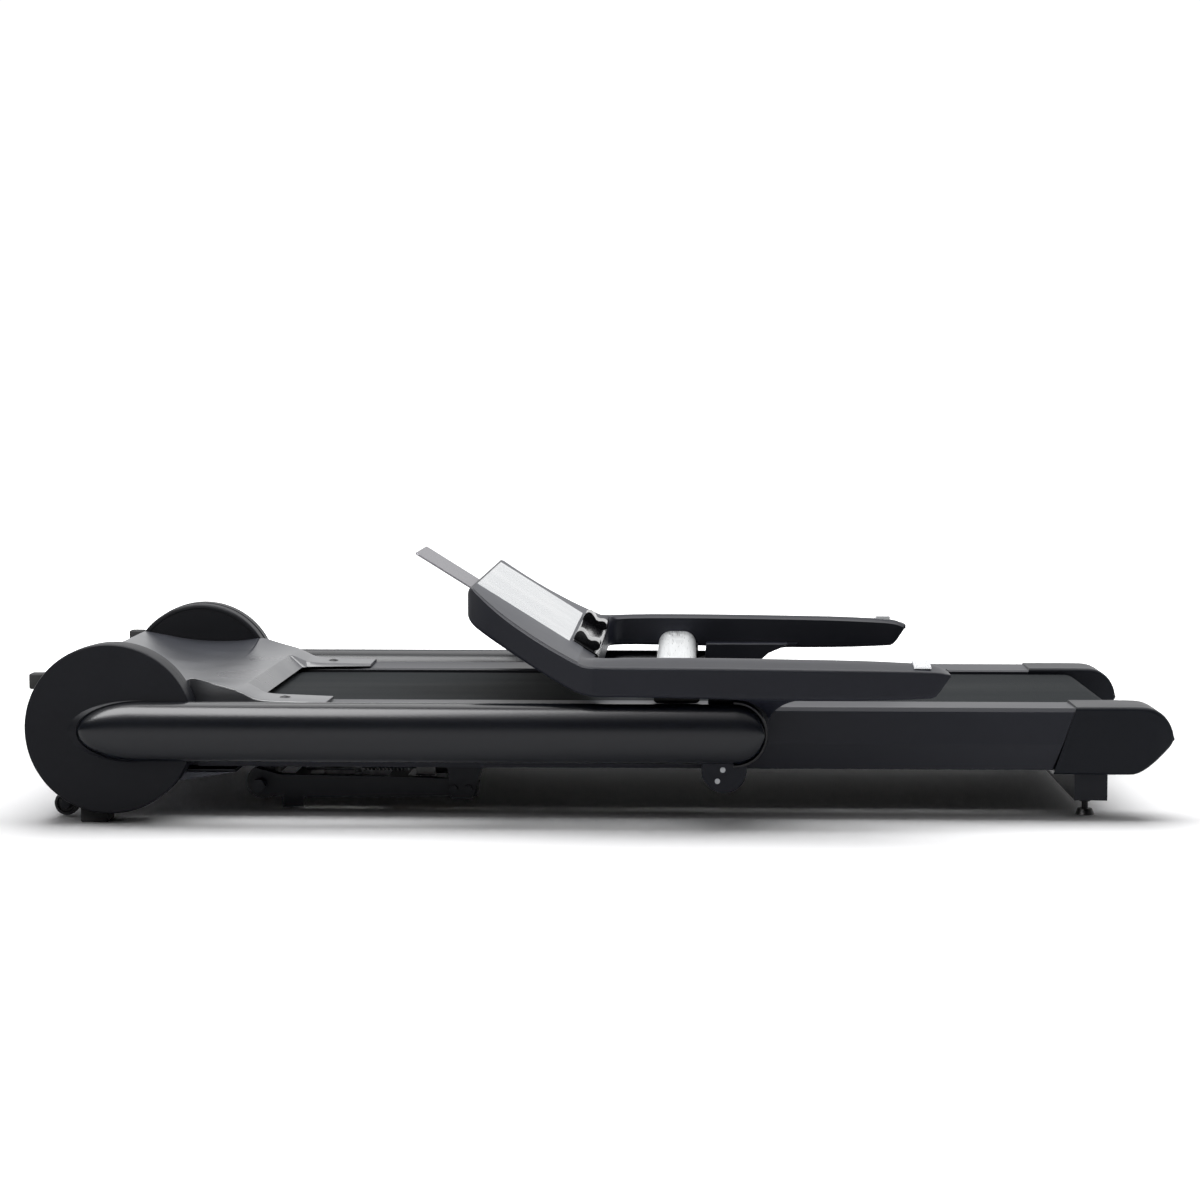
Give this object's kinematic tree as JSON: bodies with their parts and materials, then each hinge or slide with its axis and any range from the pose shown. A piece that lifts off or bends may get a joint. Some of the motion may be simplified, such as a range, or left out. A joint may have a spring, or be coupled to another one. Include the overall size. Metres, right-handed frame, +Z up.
{
  "type": "folding treadmill",
  "caption": "Compact motor treadmill folded flat: round side drums carry two uprights that lie along the rails, with the console and handrails over the running belt.",
  "frame": {"origin": "on the floor, under the middle of the machine's box", "axes": "+X along the deck from the motor end to the rear end, +Y to the right-hand side of a person who runs towards the motor end, +Z up"},
  "size_m": [1.733, 0.87, 0.3913],
  "materials": {
    "aluminium": "satin",
    "belt_rubber": "fine diamond weave",
    "bezel_plastic": "satin",
    "black_plastic": "matt",
    "cap_plastic": "fine satin",
    "circuit": "solder mask",
    "console_plastic": "satin",
    "deck_wood": "phenolic faced board",
    "display_glass": "gloss",
    "drum_plastic": "fine satin",
    "frame_paint": "satin powder coat",
    "gloss_black": "gloss",
    "holder_plate": "satin anodised",
    "hood_plastic": "fine satin",
    "key_metal": "satin",
    "motor_paint": "satin",
    "pan_plastic": "matt",
    "rail_paint": "satin powder coat on aluminium",
    "red_plastic": "gloss",
    "rubber": "matt",
    "steel": "zinc plated",
    "tube_paint": "satin paint"
  },
  "bodies": {
    "frame": {"side_tubes": "frame_paint", "roller_axles": "steel", "cross_members": "frame_paint", "hub_plates": "frame_paint", "motor_tray": "frame_paint", "hub_drum_left": "drum_plastic", "hub_drum_right": "drum_plastic", "pivot_shafts": "steel", "motor_hood": "hood_plastic", "hood_screws": "black_plastic", "belly_pan": "pan_plastic", "front_panel": "black_plastic", "power_inlet": "black_plastic", "side_rail_left": "rail_paint", "side_rail_right": "rail_paint", "end_cap_left": "cap_plastic", "end_cap_right": "cap_plastic", "deck_board": "deck_wood", "deck_cushions": "rubber", "running_belt": "belt_rubber", "belt_tension_bolts": "steel", "drive_motor": "motor_paint", "motor_bracket": "frame_paint", "drive_belt": "rubber", "motor_controller": "circuit", "rear_beam": "frame_paint", "levelling_feet": "black_plastic", "front_feet": "rubber", "front_bumpers": "rubber", "wheel_brackets": "frame_paint", "lift_brackets": "frame_paint", "lift_motor": "motor_paint"},
    "power_switch": {"power_switch": "red_plastic"},
    "front_roller": {"front_roller": "steel"},
    "rear_roller": {"rear_roller": "steel"},
    "motor_rotor": {"motor_rotor": "steel"},
    "wheel_left": {"wheel_left": "black_plastic"},
    "wheel_right": {"wheel_right": "black_plastic"},
    "lift": {"lift_frame": "frame_paint"},
    "lift_rollers": {"lift_rollers": "black_plastic"},
    "lift_screw": {"lift_screw": "steel"},
    "uprights": {"upright_tube_left": "tube_paint", "upright_tube_right": "tube_paint", "tube_end_caps": "black_plastic", "disc_cover_left": "drum_plastic", "disc_cover_right": "drum_plastic", "pivot_hubs": "steel", "console_pins": "steel"},
    "console": {"handrail_left": "console_plastic", "handrail_right": "console_plastic", "ear_bolts": "steel", "console_shell": "console_plastic", "console_bezel": "bezel_plastic", "display_panel": "display_glass", "console_board": "circuit", "ledge": "gloss_black", "cross_bar": "aluminium"},
    "tablet_holder": {"tablet_holder": "holder_plate"},
    "speed_key": {"speed_key": "key_metal"},
    "incline_key": {"incline_key": "key_metal"}
  },
  "joints": [
    {"name": "upright_fold", "type": "hinge", "parent": "frame", "child": "uprights", "pos_m": [-0.7385, 0, 0.144], "axis": [0, -1, 0], "range_deg": [0, 73]},
    {"name": "console_fold", "type": "hinge", "parent": "uprights", "child": "console", "pos_m": [0.1995, 0, 0.141], "axis": [0, -1, 0], "range_deg": [-73, 0]},
    {"name": "tablet_slide", "type": "slide", "parent": "console", "child": "tablet_holder", "axis": [-0.848, 0, 0.5299], "range_m": [-0.09, 0]},
    {"name": "speed_key_press", "type": "slide", "parent": "console", "child": "speed_key", "axis": [0, 0, -1], "range_m": [0, 0.0015], "stiffness_N_per_m": 600},
    {"name": "incline_key_press", "type": "slide", "parent": "console", "child": "incline_key", "axis": [0, 0, -1], "range_m": [0, 0.0015], "stiffness_N_per_m": 600},
    {"name": "belt_drive", "type": "hinge", "parent": "frame", "child": "front_roller", "pos_m": [-0.5935, 0, 0.1365], "axis": [0, 1, 0], "continuous": true},
    {"name": "rear_roller_spin", "type": "hinge", "parent": "frame", "child": "rear_roller", "pos_m": [0.774, 0, 0.1365], "axis": [0, 1, 0], "continuous": true},
    {"name": "motor_spin", "type": "hinge", "parent": "frame", "child": "motor_rotor", "pos_m": [-0.7435, 0, 0.124], "axis": [0, 1, 0], "continuous": true},
    {"name": "wheel_left_spin", "type": "hinge", "parent": "frame", "child": "wheel_left", "pos_m": [-0.8205, -0.32, 0.021], "axis": [0, 1, 0], "continuous": true},
    {"name": "wheel_right_spin", "type": "hinge", "parent": "frame", "child": "wheel_right", "pos_m": [-0.8205, 0.32, 0.021], "axis": [0, 1, 0], "continuous": true},
    {"name": "lift_tilt", "type": "hinge", "parent": "frame", "child": "lift", "pos_m": [-0.2085, 0, 0.0375], "axis": [0, -1, 0], "range_deg": [0, 22]},
    {"name": "lift_roller_spin", "type": "hinge", "parent": "lift", "child": "lift_rollers", "pos_m": [-0.5325, 0, 0.042], "axis": [0, 1, 0], "continuous": true},
    {"name": "lift_screw_turn", "type": "hinge", "parent": "frame", "child": "lift_screw", "pos_m": [-0.4325, -0.208, 0.064], "axis": [1, 0, 0], "range_deg": [0, 528]},
    {"name": "power_rocker", "type": "hinge", "parent": "frame", "child": "power_switch", "pos_m": [-0.8445, 0.18, 0.104], "axis": [0, 1, 0], "range_deg": [-12, 0]}
  ],
  "couplings": [
    {"joint": "console_fold", "follows": "upright_fold", "ratio": -1},
    {"joint": "rear_roller_spin", "follows": "belt_drive", "ratio": 1},
    {"joint": "motor_spin", "follows": "belt_drive", "ratio": 2.5},
    {"joint": "lift_screw_turn", "follows": "lift_tilt", "ratio": 24}
  ]
}
